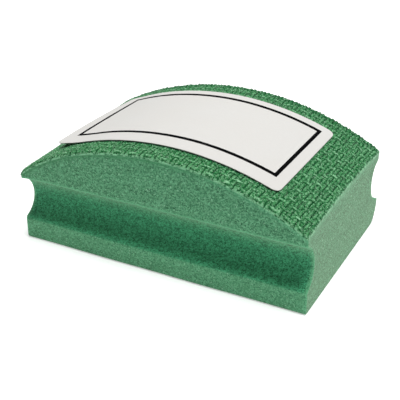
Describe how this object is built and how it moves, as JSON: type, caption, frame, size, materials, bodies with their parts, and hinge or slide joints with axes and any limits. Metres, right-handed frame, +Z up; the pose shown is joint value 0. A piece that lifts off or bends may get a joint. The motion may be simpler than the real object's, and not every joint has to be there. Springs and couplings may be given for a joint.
{
  "type": "sanding block",
  "caption": "Hand sanding block: green foam body with a round finger groove along each long side and a domed top faced with woven diamond abrasive cloth, with a paper label.",
  "frame": {"origin": "middle of the flat foam base, on the surface the block stands on", "axes": "+X along the block's length, +Y across its width, +Z up through the middle of the dome"},
  "size_m": [0.089, 0.057, 0.0358],
  "materials": {
    "foam": "matt open-cell foam",
    "bond": "dried adhesive film",
    "cloth": "coarse basket weave",
    "coat": "diamond grit in a green binder",
    "adhesive": "clear pressure-sensitive film",
    "paper": "smooth label paper"
  },
  "bodies": {
    "root": {"foam_block": "foam", "cloth_bond": "bond", "backing_cloth": "cloth", "diamond_coat": "coat", "label_adhesive": "adhesive", "label": "paper"}
  },
  "joints": []
}
